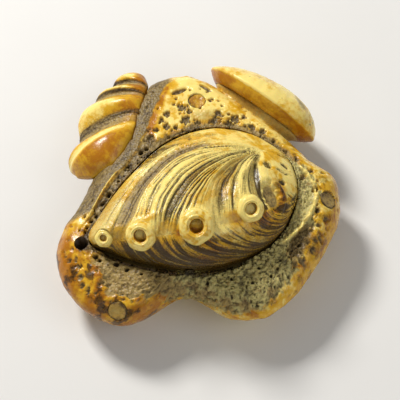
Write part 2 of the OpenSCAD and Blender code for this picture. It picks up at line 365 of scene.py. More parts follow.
def aimed(place, direction):
    """A matrix that turns +Z to the direction and moves to the place."""
    turn = Vector(direction).to_track_quat("Z", "Y").to_matrix().to_4x4()
    return Matrix.Translation(Vector(place)) @ turn


def moved(points, matrix):
    m = np.array(matrix)
    return points @ m[:3, :3].T + m[:3, 3]


CLAM_FRAME = placed(CLAM_CENTRE, (90 - CLAM_TILT, 0, CLAM_HEADING + 90))
WHELK_FRAME = placed(WHELK_SEAT, (0, -WHELK_TILT, WHELK_HEADING - 90))

ROCK_LOOP = loop_curve(ROCK_OUTLINE)
ABALONE_LOOP = loop_curve(ABALONE_OUTLINE)
rock_reach = polar(ROCK_LOOP, (0, 0))
abalone_reach = polar(ABALONE_LOOP, (0, 0))


def finish_piece(piece, node, material):
    piece.data.materials.clear()
    piece.data.materials.append(material)
    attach(piece, BODY)
    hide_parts(node)


# ---------------------------------------------------------------- the rock

# Star-shaped pits and round pores in the rock's face: place and radius.
PITS = [
    (-2.8, 13.8, 0.75), (-5.2, 12.5, 0.55), (-6.0, 11.6, 0.45), (-2.3, 11.3, 0.8),
    (-5.1, 10.2, 0.7), (3.0, 12.7, 0.7), (2.4, 11.4, 0.75), (5.4, 11.8, 0.8), (4.6, 10.9, 0.7),
    (6.9, 12.3, 0.5), (1.75, 15.1, 0.35), (-3.8, 10.0, 0.4), (-0.3, 10.9, 0.5), (8.1, 10.4, 0.6),
    (-1.7, 13.1, 0.45), (-6.8, 9.6, 0.45), (-7.6, 8.3, 0.5), (9.8, 9.6, 0.5), (11.6, 7.9, 0.45),
    (17.7, -4.4, 0.5), (18.9, -5.3, 0.42), (17.8, -6.5, 0.36), (18.1, -8.3, 0.55),
    (17.3, -8.7, 0.4), (16.9, -10.2, 0.5), (15.2, -12.1, 0.55), (14.7, -11.4, 0.4),
    (15.6, -12.8, 0.45), (14.2, -12.7, 0.38), (17.0, 2.3, 0.45), (15.7, 1.2, 0.6),
    (17.5, -0.9, 0.5), (18.9, 2.4, 0.3), (13.2, 5.9, 0.45), (14.9, 4.6, 0.4),
    (-17.9, -13.4, 0.5), (-17.5, -14.8, 0.42), (-17.3, -16.0, 0.36), (-15.9, -18.4, 0.3),
    (-14.2, -19.3, 0.3), (-16.4, -16.9, 0.36), (-19.4, -12.2, 0.3), (-15.2, -17.4, 0.3),
]
PORES = [
    (-9.1, 5.4, 0.42), (-8.2, 6.1, 0.36), (-11.1, 3.0, 0.32), (-13.7, -1.9, 0.52),
    (-14.7, -3.4, 0.3), (-16.3, -6.2, 0.36), (-16.9, -7.2, 0.3), (-15.5, -5.4, 0.32),
    (-17.1, -7.9, 0.26), (-15.4, -11.9, 0.44), (-14.8, -12.4, 0.3), (-12.3, -13.0, 0.44),
    (-10.7, -13.9, 0.36), (-8.6, -14.5, 0.24), (0.9, -15.9, 0.3),
    (4.6, -15.3, 0.28), (8.6, -13.6, 0.3), (-16.0, -4.4, 0.24), (-12.4, 0.5, 0.26),
]
LONG_PITS = [((-3.3, 17.0), 2.7, 0.95, 24), ((0.9, 17.7), 2.4, 0.75, -34)]
WEB_LONG, WEB_THICK, WEB_REACH = 6.4, 3.0, 4.6   # half sizes and length of the clam's web
GREY_BLOBS = [((-13.4, -15.6), 2.6, 1.7, 20), ((-13.0, -17.3), 2.0, 1.4, 0)]
GREY_PATCH = ((15.0, -9.3), 6.0, 2.6, 56)
RIDGE_PATH = [(15.4, 2.9), (16.5, 1.3), (17.3, -0.2), (17.5, -1.7), (17.2, -3.3), (16.4, -5.0),
              (15.2, -6.8), (13.9, -8.2), (12.4, -9.5)]
LEFT_EDGE = [(-5.1, 19.3), (-6.6, 15.7), (-7.8, 12.4), (-8.5, 9.5), (-9.8, 6.0), (-11.6, 3.2),
             (-13.6, 0.4), (-15.0, -2.2), (-16.5, -5.4), (-18.2, -7.5), (-19.5, -8.3)]
# Width of the polished rim round the spongy core, by direction in degrees.
RIM_WIDTH = ([200, 225, 245, 256, 268, 280, 295, 320, 345, 370, 400],
             [3.5, 4.4, 2.2, -0.6, -1.2, -0.6, 0.2, 1.4, 3.0, 3.6, 3.0])


def sponge_at(p, angle, rough, grain):
    """Height of the spongy core at points in it, and how much of a gap or a hole is there."""
    lump, _ = cells(p * 1.9, 3)
    worm = np.abs(noise(p * 1.5, 33) - 0.5) + 0.35 * (noise(p * 3.4, 34) - 0.5)
    hole, _ = cells(p * 0.95, 9)
    calm = mix(0.25, 1.0, smooth(232, 252, angle)) * (1 - 0.45 * smooth(325, 345, angle))
    gap = smooth(0.15, 0.03, worm) * calm
    holes = smooth(0.3, 0.14, hole + 0.4 * (rough - 0.5)) * smooth(0.4, 0.6, noise(p * 0.6, 39))
    small, _ = cells(p * 2.3, 49)
    small = smooth(0.26, 0.1, small + 0.3 * (rough - 0.5)) * (1 - calm)
    holes = most(holes * calm, small)
    height = 0.62 * calm * (1 - lump) * (1 - gap) - 0.06 * calm - 0.42 * holes
    height += (1 - calm) * (0.5 * (rough - 0.5) + 0.16 * (1 - grain))
    return height, gap, holes


def rock_face(x, y, z):
    """Height to add to the rock's surface, and its traits, at points on it."""
    angle = np.degrees(np.arctan2(y, x))
    angle = np.where(angle < 90, angle + 360, angle)
    a = np.radians(angle)
    r = np.hypot(x, y)
    inset = rock_reach(a) - r
    from_shell = r - abalone_reach(a)
    flat = xyz(x, y)
    p = xyz(x, y, z)
    top = smooth(7.4, 8.8, z)
    rough = fbm(p * 1.7, 4, 5)

    # slow undulation, and faint hammer-like facets on the polished rim
    height = 0.55 * (fbm(p * 0.28, 3, 11) - 0.5)
    facets, _ = cells(p * 0.62, 31)
    height += 0.1 * (facets - 0.45)

    # the spongy core of the antler, between the shell and the polished rim
    rim = np.interp(angle, *RIM_WIDTH) + 2.6 * (rough - 0.5)
    core = smooth(210, 224, angle) * smooth(388, 374, angle)
    notch = bell(angle - 262, 13)
    core *= smooth(rim, rim + 0.9, inset) * smooth(mix(5.5, 2.0, notch), mix(8, 4.5, notch), z)
    grain, _ = cells(p * 2.6, 21)
    sponge, gap, holes = sponge_at(p, angle, rough, grain)
    height = mix(height, 0.4 * height - 0.5 + sponge, core)

    # the grey strip beside the shell on the back and left, brown and porous
    strip = smooth(2.1, 0.5, from_shell + 1.5 * (rough - 0.5)) * top * (1 - core)
    left = smooth(203, 197, angle)
    edge_angle = np.degrees(np.arctan2(*zip(*[(q[1], q[0]) for q in LEFT_EDGE]))) % 360
    beyond = r - np.interp(angle, edge_angle, np.hypot(*zip(*LEFT_EDGE)))
    strip = most(strip, 0.95 * left * smooth(126, 136, angle) * smooth(-0.1, -0.6, beyond) * top)
    height -= strip * (0.3 + 0.35 * smooth(0.5, 0.1, grain) * smooth(0.45, 0.6, rough))
    # a raised line along the left edge, painted paler below as a painted highlight
    highlit_left_edge = left * bell(beyond, 0.17) * smooth(168, 175, angle) * top
    height += 0.3 * highlit_left_edge

    # the trench that shades the foot of the shell's steep front, also painted dark in the colours
    # below as painted shadow
    front = smooth(215, 222, angle) * smooth(310, 286, angle)
    shaded_trench = front * bell(from_shell - 0.1, 0.4) * top
    height -= 0.35 * shaded_trench

    # pits, pores, the long pits of the peak, the grey patch and its raised ridge, painted pale
    # along its line as a painted highlight
    star = noise(flat * 2.7, 41) + 0.5 * noise(flat * 5.5, 43) - 0.75
    pit = ovals(x, y, rounds(PITS), 0.7, 1.15, 0.85 * star)
    pore = ovals(x, y, rounds(PORES), 0.55, 1.1, 0.3 * star) * top
    pit = most(pit, ovals(x, y, LONG_PITS, 0.75, 1.15))
    speck, _ = cells(p * 0.75, 57)
    specks = smooth(0.24, 0.13, speck + 0.1 * star) * top * (1 - core)
    pit = most(pit * top, 0.8 * specks)
    blobs = ovals(x, y, GREY_BLOBS, 0.6, 1.2)
    patch = ovals(x, y, [GREY_PATCH], 0.75, 1.2, 0.8 * (rough - 0.5)) * top
    ridge_d, _ = near_path(x, y, RIDGE_PATH)
    # the ridge's line, raised and also painted pale below as a painted highlight
    highlit_ridge = bell(ridge_d, 0.34) * top
    height -= 0.42 * pit * (0.8 + 0.6 * grain) + 0.8 * pore + 0.25 * blobs
    height += -0.4 * patch * (1 - highlit_ridge) + 0.55 * highlit_ridge * (0.6 + 0.8 * rough)

    # colours: brown stain in the hollows, painted shadow in the trench, painted highlights on the
    # ridge and the left edge, amber rim, grey-green core
    wall = left * smooth(100, 106, angle) * smooth(-0.7, 0.0, beyond + 0.8 * (rough - 0.5))
    wall *= smooth(1.5, 3.5, z) * smooth(199, 194, angle)
    strip_stain = strip * rough * (1 - 0.6 * smooth(340, 370, angle))
    face_stain = 0.5 * smooth(0.55, 0.75, rough) * (1 - core) * top
    face_stain *= smooth(206, 220, angle) * smooth(400, 380, angle)
    # the trench term here is painted shadow at the foot of the shell, not stain
    stain = most(0.5 * pit, pore, 1.1 * shaded_trench, strip_stain, face_stain, 0.5 * patch,
                 core * most(0.55 * gap, 0.85 * holes), 0.45 * wall)
    streaks = smooth(0.45, 0.7, noise(xyz(beyond * 2.2, angle * 0.12, z * 0.8), 37))
    stain = most(stain, 0.55 * most(wall, 0.8 * strip) * streaks)
    # less stain on the ridge and the left edge: painted highlights
    stain = stain * (1 - 0.85 * highlit_ridge) * (1 - 0.9 * highlit_left_edge)
    lower_left = smooth(196, 206, angle) * smooth(262, 248, angle)
    right = smooth(283, 300, angle) * smooth(412, 395, angle)
    mottle = fbm(p * 0.75, 4, 13)
    amber = 0.2 + 0.65 * lower_left + 0.2 * right + 0.9 * (rough - 0.5) + 0.8 * (mottle - 0.5)
    rim_stain = 0.7 * smooth(0.5, 0.66, mottle) * (1 - core) * (1 - highlit_ridge)
    stain = most(stain, rim_stain * most(lower_left, 0.6 * right))
    amber += 0.3 * smooth(2.6, 0.8, inset) * smooth(10.8, 8.5, z)
    brown = most(strip, wall, 0.8 * blobs, patch, pit, core * smooth(252, 232, angle))
    near_edge = bell(beyond + 0.9, 0.9) * smooth(100, 106, angle)
    amber += 0.8 * near_edge * smooth(138, 126, angle)
    dusk = bell(x - 0.8, 4.5) * bell(y - 12.2, 1.7)
    # the -0.35 term paints a paler spot at the peak's centre: a painted highlight
    amber += 0.25 * dusk - 0.35 * bell(x + 1.2, 2.2) * bell(y - 18, 1.8)
    amber = mix(amber - (0.3 + 0.2 * right) * core, 0.9, np.clip(brown, 0, 1))
    # amber and grey fall away on the ridge and the left edge: painted highlights
    amber *= (1 - 0.85 * highlit_left_edge) * (1 - 0.7 * highlit_ridge)
    grey = most(core, 0.85 * strip, 0.8 * blobs, 0.7 * patch, 0.85 * wall, 0.85 * pit, 0.5 * dusk)
    grey = grey * (1 - 0.8 * highlit_ridge) * (1 - 0.9 * highlit_left_edge)
    return height, traits_of(stain=stain, amber=amber, grey=grey)


def rock_skin():
    """The rock's surface as rings of points, from its back to the floor of the pocket."""
    around = 640
    a = angles(around)
    reach, pocket = rock_reach(a), abalone_reach(a) + POCKET_GAP
    samples = 400
    profile = open_curve(ROCK_PROFILE, samples)
    side_end = WAIST_STEP + 3
    steps = np.linspace(0, side_end, 46) / (len(ROCK_PROFILE) - 1) * (samples - 1)
    rings, is_open = [], []

    def add(radius, z, exposed=1.0):
        x, y = radius * np.cos(a), radius * np.sin(a)
        z = np.where(z > WAIST_H, WAIST_H + (z - WAIST_H) * (1 - DROOP * most(0, -y)), z)
        rings.append(xyz(x, y, z))
        is_open.append(exposed)

    for share in (0.2, 0.45, 0.7, 0.88, 0.97):
        add(share * (reach - ROCK_PROFILE[0][0]), 0.0, 0.0)
    for t in steps:
        inset, z = (np.interp(t, np.arange(samples), profile[:, c]) for c in (0, 1))
        add(reach - max(inset, 0.0), max(z, 0.0), 1.0 if z > 0.8 else 0.0)
    top = profile[int(steps[-1]):]
    start = ROCK_PROFILE[side_end][0]
    for share in np.linspace(0, 1, 62)[1:]:
        radius = mix(reach - start, pocket, share)
        add(radius, np.interp(reach - radius, top[:, 0], top[:, 1]))
    for share in (1.0, 0.97, 0.7, 0.3):
        rings.append(xyz(share * pocket * np.cos(a), share * pocket * np.sin(a), SEAT_H))
        is_open.append(0.0)
    return np.array(rings), np.array(is_open)


def rock_cutters():
    """Sockets for the bushes and discs, the drilled hole, the whelk's flat, the thread's way."""
    cutters = []
    for side in (-1, 1):
        socket = ring_of(THREAD_R + BUSH_WALL + SOCKET_GAP, 64, (side * THREAD_PITCH / 2, 0))
        cutters.append(prism("cut", socket, -1, BUSH_LEN))
    for place, direction in DISCS.values():
        cutters.append(prism("cut", ring_of(DISC_R + DISC_GAP), -DISC_SINK - DISC_T, 3,
                             aimed(place, direction)))
    x, y, z = PIT_PLACE
    cutters.append(prism("cut", ring_of(PIT_R, 48, (x, y)), z - PIT_DEPTH, z + 3))
    return cutters + [whelk_cutter(), thread_arch()]


def trait_values(mesh, name):
    values = np.zeros(len(mesh.vertices), np.float32)
    mesh.attributes[name].data.foreach_get("value", values)
    return values


def restore_traits(mesh, tree, kept):
    """Gives points their traits back after the cuts, and points on new faces their own."""
    on_cut = {"stain": 0.62, "amber": 0.75, "grey": 0.55}
    on_web = {"stain": 0.2, "amber": 0.45, "grey": 0.5}
    on_back = {"stain": 0.25, "amber": 0.25, "grey": 0.25}
    same_point, back, web_area = 0.12 * MM, 0.05 * MM, 9
    pit_wall, pit_mouth = PIT_R + 0.03, (PIT_PLACE[2] - 0.1) * MM
    values = {name: np.zeros(len(mesh.vertices), np.float32) for name in kept}
    for i, v in enumerate(mesh.vertices):
        _, k, distance = tree.find(v.co)
        new = on_web if (v.co / MM - Vector(CLAM_CENTRE)).length < web_area else on_cut
        if v.co.z < back:
            new = on_back
        for name in kept:
            values[name][i] = kept[name][k] if distance < same_point else new[name]
        if (v.co / MM - Vector(PIT_PLACE)).xy.length < pit_wall and v.co.z < pit_mouth:
            values["stain"][i] = 1.0
    for name in kept:
        if name in mesh.attributes:
            mesh.attributes.remove(mesh.attributes[name])
        mesh.attributes.new(name, "FLOAT", "POINT").data.foreach_set("value", values[name])


def make_rock(material):
    rings, exposed = rock_skin()
    height, traits = rock_face(rings[..., 0], rings[..., 1], rings[..., 2])
    exposed = exposed[:, None] * smooth(0.8, 2.2, rings[..., 2])
    shape = raised(rings, height * exposed)
    # the rings round the pocket stay above its floor, and nothing goes below the back
    for step in range(12):
        ring = shape[-5 - step]
        ring[:, 2] = most(ring[:, 2], SEAT_H + 0.04 - 0.05 * step)
    shape[..., 2] = most(shape[..., 2], 0)
    shape[-4:, :, 2] = np.minimum(SEAT_H, shape[-5, :, 2].min() - 0.02)
    for name in traits:
        traits[name] = np.where(exposed > 0.02, traits[name], 0.25)
    traits["stain"][-4:] = 1.0
    rock = loft("rock", shape, traits)

    tree = kdtree.KDTree(len(rock.data.vertices))
    for i, v in enumerate(rock.data.vertices):
        tree.insert(v.co, i)
    tree.balance()
    kept = {name: trait_values(rock.data, name) for name in traits}
    combine(rock, [clam_web()], "UNION")
    combine(rock, rock_cutters(), "DIFFERENCE")
    restore_traits(rock.data, tree, kept)
    rock.data.polygons.foreach_set("use_smooth", np.ones(len(rock.data.polygons), bool))
    finish_piece(rock, "rock_base", material)


def thread_arch():
    """The arched way for the thread between the two bushes: a cutter."""
    turns, around = 40, 32
    a = np.linspace(-0.08, math.pi + 0.08, turns)[:, None]
    b = angles(around)[None, :]
    reach = THREAD_PITCH / 2 + THREAD_R * np.cos(b)
    rings = xyz(reach * np.cos(a), THREAD_R * np.sin(b) + 0 * a, BUSH_LEN + reach * np.sin(a))
    return loft("cut", rings)


def whelk_cutter():
    """The flat that the whelk lies on, cut into the rock's shoulder."""
    edge = []
    for across, along, half, slant, _ in WHELK_RINGS:
        s = math.radians(slant)
        edge.append((across + (half + 0.4) * math.cos(s), along + (half + 0.4) * math.sin(s)))
    return prism("cut", [(-20, -11)] + edge + [(-20, 11)], 0, 10, WHELK_FRAME)


def clam_web():
    """The web of antler between the rock's edge and the clam, waisted and open at its foot."""
    around, rows = 96, 14
    b = angles(around)
    rings = []
    for t in np.linspace(0, 1, rows):
        flare = 1 + 0.28 * (2 * t - 1) ** 2
        x = WEB_LONG * flare * np.sign(np.cos(b)) * np.abs(np.cos(b)) ** 0.8
        y = WEB_THICK * flare * np.sign(np.sin(b)) * np.abs(np.sin(b)) ** 0.8
        rings.append(xyz(x, y, -CLAM_SEAT - WEB_REACH * (1 - t) - 0.02))
    rings = moved(np.array(rings), CLAM_FRAME)
    height = 0.25 * (fbm(rings * 1.1, 3, 61) - 0.5)
    return loft("cut", raised(rings, height))


# ---------------------------------------------------------------- the abalone

FAN = np.array([9.4, 4.6])  # the point that the growth lines spread from
# Growth lines: share of the shell's growth, then where the line crosses the row of collars, then
# the point that it bends round on its way there from the fan.
GROWTH_LINES = [
    (0.0, 11.2, -3.6, 9.9, 0.8), (0.06, 8.9, -6.0, 6.4, -0.6), (0.17, 5.0, -9.2, 3.4, -0.2),
    (0.26, 2.6, -9.5, 0.9, 0.6), (0.36, -1.0, -9.9, 0.0, 0.2),
    (0.45, -3.7, -9.8, -1.2, 0.2), (0.55, -5.1, -9.6, -3.3, 1.5),
    (0.68, -8.0, -9.5, -7.8, 3.8), (0.84, -11.2, -9.5, -7.6, 8.2), (1.0, -14.8, -9.5, -8.6, 11.6),
]
# The crest that carries the collars, seen from above and with its height.
CREST = [(-15.6, -9.6, 11.2), (-14.3, -10.0, 12.4), (-8.9, -10.9, 15.2), (-0.7, -10.6, 17.2),
         (4.5, -9.0, 16.6), (7.5, -7.4, 15.2), (11.3, -5.0, 13.4), (13.6, -2.6, 12.2),
         (14.6, -0.8, 11.4)]
# Valleys between the growth bands: growth share, half width, depth, core shown, stain.
VALLEYS = [
    (0.848, 0.088, 0.42, 0.85, 0.3), (0.520, 0.040, 0.5, 0.45, 0.7),
    (0.250, 0.095, 0.5, 0.42, 0.0), (0.060, 0.040, 0.4, 0.45, 0.35),
]
# Grooves: growth share, half width, depth.
GROOVES = [
    (0.955, 0.006, 0.35), (0.905, 0.008, 0.6), (0.865, 0.007, 0.8), (0.835, 0.007, 0.7),
    (0.785, 0.007, 0.8), (0.745, 0.008, 0.7), (0.705, 0.007, 0.6), (0.672, 0.008, 0.7),
    (0.612, 0.008, 0.6), (0.582, 0.008, 0.8), (0.545, 0.010, 0.9), (0.500, 0.010, 1.0),
    (0.465, 0.008, 0.9), (0.432, 0.010, 0.9), (0.398, 0.008, 0.8), (0.362, 0.010, 0.6),
    (0.165, 0.010, 0.5), (0.120, 0.014, 0.9), (0.088, 0.010, 0.8),
    (0.045, 0.012, 0.9),
]
# The spire, the dish in front of it and the dish's floor: place, length, width, turn.
SPIRE = ((11.7, -0.2), 9.5, 5.6, 100)
SPIRE_DISH = ((10.6, -4.1), 4.8, 2.9, -68)
SPIRE_DISH_FLOOR = ((10.5, -4.1), 4.4, 2.5, -68)
SPIRE_STAIN = [(11.3, -1.9), (12.0, -3.2), (12.1, -4.6), (11.3, -6.0)]
LAST_COLLAR_NECK = [(7.7, 1.6), (6.3, -1.6), (6.4, -4.2), (7.2, -6.4)]
LEFT_TIP = -14.8
# Slots and pits by the spire: place, length, width, turn, depth, stain.
SPIRE_PITS = [
    ((10.0, 1.2), 1.7, 1.15, -50, 0.3, 0.7), ((12.5, 4.0), 1.7, 0.42, -2, 0.35, 0.8),
    ((12.65, 1.85), 1.5, 0.55, -28, 0.4, 0.85), ((12.2, 0.6), 2.0, 0.5, -18, 0.32, 0.55),
    ((12.15, -1.3), 1.15, 0.9, 0, 0.5, 0.85), (*SPIRE_DISH, 0.6, 0.12),
]
summit_reach = polar(ABALONE_LOOP, SUMMIT)
crest_curve = open_curve(CREST, 200)
growth_rows = open_curve(GROWTH_LINES, 100)


def growth_share(x, y):
    """Share of the shell's growth at points on its back, and the room between growth lines."""
    t = np.linspace(0.004, 1.5, 90)
    shape = np.shape(x)
    way = xyz(x, y)[..., :2].reshape(-1, 2) - FAN
    angle = np.mod(np.arctan2(way[:, 1], way[:, 0]), 2 * math.pi)
    away = np.hypot(way[:, 0], way[:, 1])
    reach = np.empty((len(growth_rows), len(away)), np.float32)
    for k, (_, end_x, end_y, bend_x, bend_y) in enumerate(growth_rows):
        line_x = 2 * t * (1 - t) * (bend_x - FAN[0]) + t * t * (end_x - FAN[0])
        line_y = 2 * t * (1 - t) * (bend_y - FAN[1]) + t * t * (end_y - FAN[1])
        line_angle = np.maximum.accumulate(np.mod(np.arctan2(line_y, line_x), 2 * math.pi))
        reach[k] = np.interp(angle, line_angle, np.hypot(line_x, line_y), left=0)
    reach = np.maximum.accumulate(reach, axis=0)
    last = len(growth_rows) - 1
    low = np.clip((reach <= away).sum(0) - 1, 0, last - 1)
    column = np.arange(len(away))
    below, above = reach[low, column], reach[low + 1, column]
    part = np.clip((away - below) / most(above - below, 1e-4), 0, 1)
    share = np.interp(low + part, np.arange(last + 1), growth_rows[:, 0])
    return share.reshape(shape), (above - below).reshape(shape)


def dome_share(share, way_x, way_y):
    front = most(0, -way_y / np.hypot(way_x, way_y)) ** 1.5
    p = mix(DOME_BACK[0], DOME_FRONT[0], front)
    q = mix(DOME_BACK[1], DOME_FRONT[1], front)
    return (1 - share ** p) ** q


def growth_bands(growth, turn, narrow):
    """The valleys and grooves between the growth bands, and finer lines that come and go."""
    valley = groove = core = tint = 0
    for share, half, depth, shown, dark in VALLEYS:
        wander = 0.012 * (noise(xyz(turn * 1.3, share * 40), 81) - 0.5)
        inside = smooth(1.2, 0.35, np.abs(growth - share - wander) / (half * narrow))
        valley = most(valley, inside * depth)
        core = most(core, inside * shown)
        tint = most(tint, inside * dark)
    for share, half, depth in GROOVES:
        wander = 0.014 * (noise(xyz(turn * 1.3, share * 40), 82) - 0.5)
        wide = half * (0.4 + 1.1 * noise(xyz(turn * 2.2, share * 30), 83))
        inside = smooth(1.3, 0.4, np.abs(growth - share - wander) / wide)
        groove = most(groove, depth * inside)
    fine = noise(xyz(growth * 52, turn * 1.9), 91)
    finer = noise(xyz(growth * 105, turn * 3.1), 93)
    lines = 0.62 * smooth(0.42, 0.2, fine) + 0.42 * smooth(0.46, 0.2, finer)
    patchy = smooth(0.35, 0.6, noise(xyz(growth * 9, turn * 1.1), 95))
    return valley, groove, core, tint, fine, lines, patchy


def spire_marks(x, y, p):
    """Pits and slots by the spire, how deep they are, and the hatching at its right edge."""
    pits = sunk = 0
    ragged = 0.3 * (noise(xyz(x, y) * 3.1, 99) - 0.5)
    for *place, deep, dark in SPIRE_PITS:
        inside = ovals(x, y, [place], 0.6, 1.15, ragged)
        pits = most(pits, inside * dark)
        sunk = most(sunk, inside * deep)
    hatch_at = smooth(-0.3, 1.0, (x - 12.6) + 0.25 * (y + 3)) * smooth(-7.0, -6.2, y)
    hatch_at *= smooth(-2.2, -3.2, y)
    hatch = hatch_at * smooth(0.1, 0.75, np.sin((y + 0.4 * x) * 9.0 + 1.5 * noise(p * 2, 17)))
    return pits, sunk, hatch


def shell_face(x, y, z):
    """Height to add to the abalone's surface, and its traits, at points on it."""
    p = xyz(x, y, z)
    away = np.hypot(x - FAN[0], y - FAN[1])
    angle = np.mod(np.arctan2(y - FAN[1], x - FAN[0]), 2 * math.pi)
    crest_y = np.interp(x, crest_curve[:, 0], crest_curve[:, 1])
    crest_z = np.interp(x, crest_curve[:, 0], crest_curve[:, 2])
    front = smooth(-0.2, 1.0, crest_y - y)

    # growth: over the back by the growth lines, down the front by lines that sweep to the right
    back_growth, gap = growth_share(x, y)
    back_growth = back_growth + 0.02 * (fbm(xyz(x, y) * 0.3, 2, 71) - 0.5)
    room = most(smooth(0.02, 0.1, gap), front)
    drop = np.clip((crest_z - z) / (crest_z - SEAT_H), 0, 1)
    run = mix(3.5, 15.0, smooth(-10, 8, x))
    row = growth_rows[::-1]
    crossing = x - run * drop ** 1.2
    front_growth = np.interp(crossing, row[:, 1], row[:, 0])
    front_growth += 0.04 * most(0, LEFT_TIP - crossing)
    growth = mix(back_growth, front_growth, smooth(0.3, 0.7, front))
    turn = np.where(front > 0.5, 0.12 * x, 2.0 * angle)

    narrow = mix(0.45, 1.0, smooth(4, 16, away))
    valley, groove, core, tint, fine, lines, patchy = growth_bands(growth, turn, narrow)
    rim_calm = 1 - 0.5 * smooth(0.93, 0.99, growth) * (1 - front)
    lines *= mix(0.3, 1.0, patchy) * mix(0.65, 1.0, rim_calm) * room * (1 - 0.6 * core)
    striae = most(groove * mix(0.4, 1, rim_calm) * room, 0.85 * lines)

    # the collars stand on mounds, with smooth dips between them
    mound = amber = 0
    for (cx, cy, _), radius, _, _ in COLLARS:
        d = np.hypot(x - cx, y - (cy + 0.45 * radius)) / radius
        mound = most(mound, bell(d, 1.3))
        low = np.hypot(x - cx, y - (cy - 0.6 * radius)) / radius
        amber = most(amber, bell(low, 1.15))
    neck, neck_t = near_path(x, y, LAST_COLLAR_NECK)
    neck = bell(neck, 0.35 + 0.8 * neck_t)
    row_of_dips = bell(y - crest_y - 0.1, 1.5) * smooth(-14.6, -13.0, x)
    dips = row_of_dips * smooth(0.7, 0.25, mound) * smooth(10.0, 8.6, x)
    spire = ovals(x, y, [SPIRE], 0.8, 1.25)

    calm = (1 - 0.85 * dips) * (1 - 0.95 * smooth(0.4, 0.75, mound)) * (1 - spire)
    calm *= (1 - 0.7 * neck) * smooth(0.3, 1.6, away) * smooth(140, 166, np.degrees(angle))
    calm *= 1 - smooth(0.8, 0.87, growth) * smooth(9.5, 6.5, away) * (1 - front)
    striae, valley, core, tint = (v * calm for v in (striae, valley, core, tint))
    striae *= mix(1, 0.3, front)
    height = -0.3 * striae - valley * (1 - front)
    height += 0.4 * mound * (1 - front) + 0.45 * neck - 0.4 * dips + 0.25 * spire
    height += 0.25 * (fbm(p * 0.35, 3, 97) - 0.5)

    pits, sunk, hatch = spire_marks(x, y, p)
    height += 0.2 * bell(oval(x, y, *SPIRE_DISH) - 1.25, 0.25) * smooth(-6.0, -3.5, y)
    height -= sunk + 0.2 * hatch

    # colours, with painted shade on the steep front
    amber *= 1 - front * smooth(0.04, 0.26, drop)
    # the steep front below the crest is made darker and more amber: partly real stain, partly
    # painted shade of the wall turned from the light
    stained_and_shaded_front = front * smooth(0.04, 0.26, drop) * (1 - 0.8 * smooth(0.4, 0.8, amber))
    stained_and_shaded_front = most(stained_and_shaded_front, smooth(0.1, 0.9, crest_y - y) * smooth(7.5, 9.5, x))
    wash = smooth(0.42, 0.7, fbm(xyz(growth * 11, turn * 0.9), 2, 101)) * rim_calm * calm
    stain = np.clip(0.95 * striae + 0.25 * wash, 0, 1)
    stain = most(stain, tint * (0.75 + 0.4 * fine))
    streak = smooth(0.43, 0.6, noise(xyz(crossing * 2.8, turn * 1.6), 107))
    streak = streak * smooth(0.95, 0.75, drop) - 0.4 * smooth(0.75, 0.95, drop)
    # darker still towards the shell's foot: painted shade
    dark = stained_and_shaded_front * (0.84 - 0.5 * streak + 0.3 * smooth(0.25, 0.6, drop))
    stain = most(stain * (1 - 0.6 * stained_and_shaded_front * streak), dark)
    stain *= 1 - 0.9 * pits
    stain = most(stain, pits, 0.85 * hatch)
    brown, _ = near_path(x, y, SPIRE_STAIN)
    brown = bell(brown, 0.42) * (0.6 + 0.6 * noise(p * 1.8, 19))
    floor = ovals(x, y, [SPIRE_DISH_FLOOR], 0.55, 1.0)
    left_end = smooth(-7.0, -13.5, x) * (1 - front)
    stain = most(stain, 0.5 * brown, 0.2 * dips * smooth(-5.5, -8.5, x), 0.16 * left_end)
    grey = most(core, 0.45 * dips, 0.3 * wash, 0.85 * floor, 0.4 * left_end)
    grey = grey * (1 - stained_and_shaded_front)
    amber = 0.8 * amber * (0.4 + 1.1 * noise(p * 0.9, 103)) * smooth(-0.5, 0.5, crest_y - y)
    amber += 0.25 * smooth(0.975, 1.0, growth) * (1 - front) + 0.15 * left_end + 0.07
    amber += 0.45 * stained_and_shaded_front
    amber += bell(x - 5.0, 1.1) * bell(y + 8.4, 1.1)
    amber += 0.6 * bell(x + 3.2, 0.9) * bell(y + 11.4, 0.9)
    amber += 0.22 * smooth(0.5, 0.75, fbm(xyz(growth * 14, turn * 1.3), 3, 105)) + 0.5 * brown
    amber += 0.4 * spire * smooth(0.4, 0.65, fbm(p * 0.7, 3, 109))
    amber = most(amber, 0.32 * smooth(0.1, 0.3, grey))
    traits = traits_of(stain=stain, amber=amber, grey=grey)
    traits.update(growth=growth, turn=turn)
    return height, traits


def under_collars(points):
    """The same points, pressed down where they would stand up inside a collar."""
    for place, radius, _, lean in COLLARS:
        frame_of = placed(place, (COLLAR_LEAN, lean, 0))
        local = moved(points, frame_of.inverted())
        inside = np.hypot(local[..., 0], local[..., 1]) < 0.94 * radius
        local[..., 2] = np.where(inside, np.minimum(local[..., 2], -0.4 * radius), local[..., 2])
        points = np.where(inside[..., None], moved(local, frame_of), points)
    return points


def make_abalone(material):
    around = 640
    a = angles(around)
    reach = summit_reach(a)
    way_x, way_y = reach * np.cos(a), reach * np.sin(a)
    rings, exposed = [], []

    def add(share, z, shown):
        rings.append(xyz(SUMMIT[0] + share * way_x, SUMMIT[1] + share * way_y, z))
        exposed.append(shown)

    for share in (0.3, 0.75, 0.97):
        add(share, SEAT_H, 0.0)
    for t in np.linspace(0, 1, 9):
        share = mix(0.972, 0.997, math.sin(0.5 * math.pi * t))
        add(share, SEAT_H + 0.03 + (RIM_T - 0.23) * t, 0.0 if t < 0.1 else 1.0)
    for share in np.cos(np.linspace(0.02, 1.56, 134)):
        h = dome_share(share, way_x, way_y)
        round_over = 0.2 * smooth(1.0, 0.97, share)
        add(share, SEAT_H + RIM_T - 0.2 + round_over + (DOME_H - RIM_T) * h, 1.0)
    rings = np.array(rings)
    height, traits = shell_face(rings[..., 0], rings[..., 1], rings[..., 2])
    shown = np.array(exposed)[:, None]
    shape = under_collars(raised(rings, height * shown))
    shape[..., 2] = most(shape[..., 2], SEAT_H)
    shell = loft("abalone", shape, traits)
    finish_piece(shell, "abalone_shell", material)


